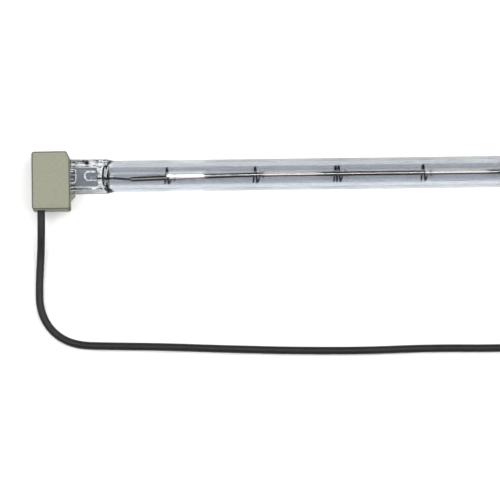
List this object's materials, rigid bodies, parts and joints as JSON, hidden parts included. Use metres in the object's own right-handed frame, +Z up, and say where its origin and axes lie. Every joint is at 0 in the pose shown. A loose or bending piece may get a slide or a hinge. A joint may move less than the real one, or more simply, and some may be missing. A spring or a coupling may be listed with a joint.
{
  "type": "infrared heating tube",
  "caption": "Quartz halogen heating tube with flat pinched seals, a coiled filament on wire supports, ceramic end caps and a flying lead with a ring terminal.",
  "frame": {"origin": "middle of the lamp's length and width, on the surface that its two ceramic caps lie on", "axes": "+X along the tube from the cap with the lead to the other cap, +Z up from the surface, +Y across, away from the lead"},
  "size_m": [0.22, 0.0671, 0.011],
  "materials": {
    "quartz": "clear polished fused quartz",
    "tungsten": "drawn wire, dull grey",
    "molybdenum": "rolled foil and drawn pin, grey",
    "nickel": "nickel plated, satin",
    "ceramic": "pressed and fired steatite, unglazed",
    "cement": "cast cement, matt",
    "lead_insulation": "extruded black silicone, soft sheen",
    "tinned_copper": "tinned strands, twisted",
    "tinned_brass": "tinned sheet, satin"
  },
  "bodies": {
    "root": {"cement_left": "cement", "cement_right": "cement", "ceramic_cap_left": "ceramic", "ceramic_cap_right": "ceramic", "crimp_sleeve_left": "nickel", "crimp_sleeve_right": "nickel", "filament": "tungsten", "foil_left": "molybdenum", "foil_right": "molybdenum", "inner_lead_left": "molybdenum", "inner_lead_right": "molybdenum", "lead_cable": "lead_insulation", "lead_conductor_cap_end": "tinned_copper", "lead_conductor_terminal_end": "tinned_copper", "outer_pin_left": "molybdenum", "outer_pin_right": "molybdenum", "quartz_envelope": "quartz", "ring_terminal": "tinned_brass", "support_1": "tungsten", "support_2": "tungsten", "support_3": "tungsten", "support_4": "tungsten", "support_5": "tungsten", "support_6": "tungsten"}
  },
  "joints": []
}
